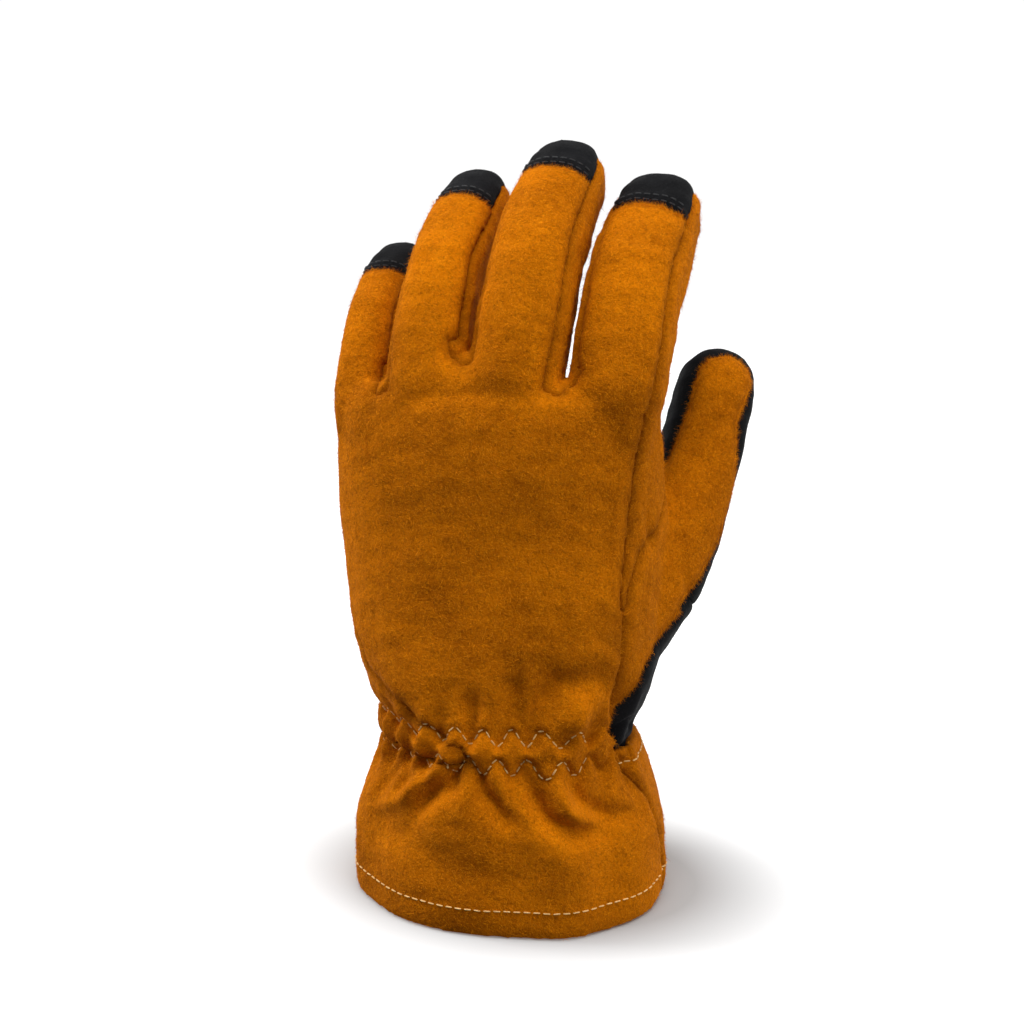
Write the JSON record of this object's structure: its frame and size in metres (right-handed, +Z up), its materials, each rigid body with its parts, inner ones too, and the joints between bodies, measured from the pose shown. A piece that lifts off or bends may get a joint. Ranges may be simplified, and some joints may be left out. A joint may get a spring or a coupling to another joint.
{
  "type": "firefighter glove",
  "caption": "Left-hand leather work glove with half-curled fingers, gold suede back, black palm and fingertips, gathered wrist and open flared cuff, standing on its cuff.",
  "frame": {"origin": "under the middle of the whole glove's length and breadth, on the plane that the cuff's rim stands on", "axes": "+Z up the arm from the cuff to the fingertips, -Y out of the back of the hand, +Y out of the palm, +X to the thumb side"},
  "size_m": [0.135, 0.106, 0.2525],
  "materials": {
    "suede_gold": "matt suede, raised nap",
    "leather_black": "matt, fine grain"
  },
  "bodies": {
    "root": {"back_panel": "suede_gold", "strip_index_middle": "suede_gold", "strip_middle_ring": "suede_gold", "strip_ring_little": "suede_gold", "strip_thumb_side": "suede_gold", "strip_little_side": "suede_gold", "thumb_back": "suede_gold", "cuff_palm": "suede_gold", "thumb_front": "leather_black", "finger_fronts": "leather_black", "palm_patch": "leather_black"}
  },
  "joints": []
}
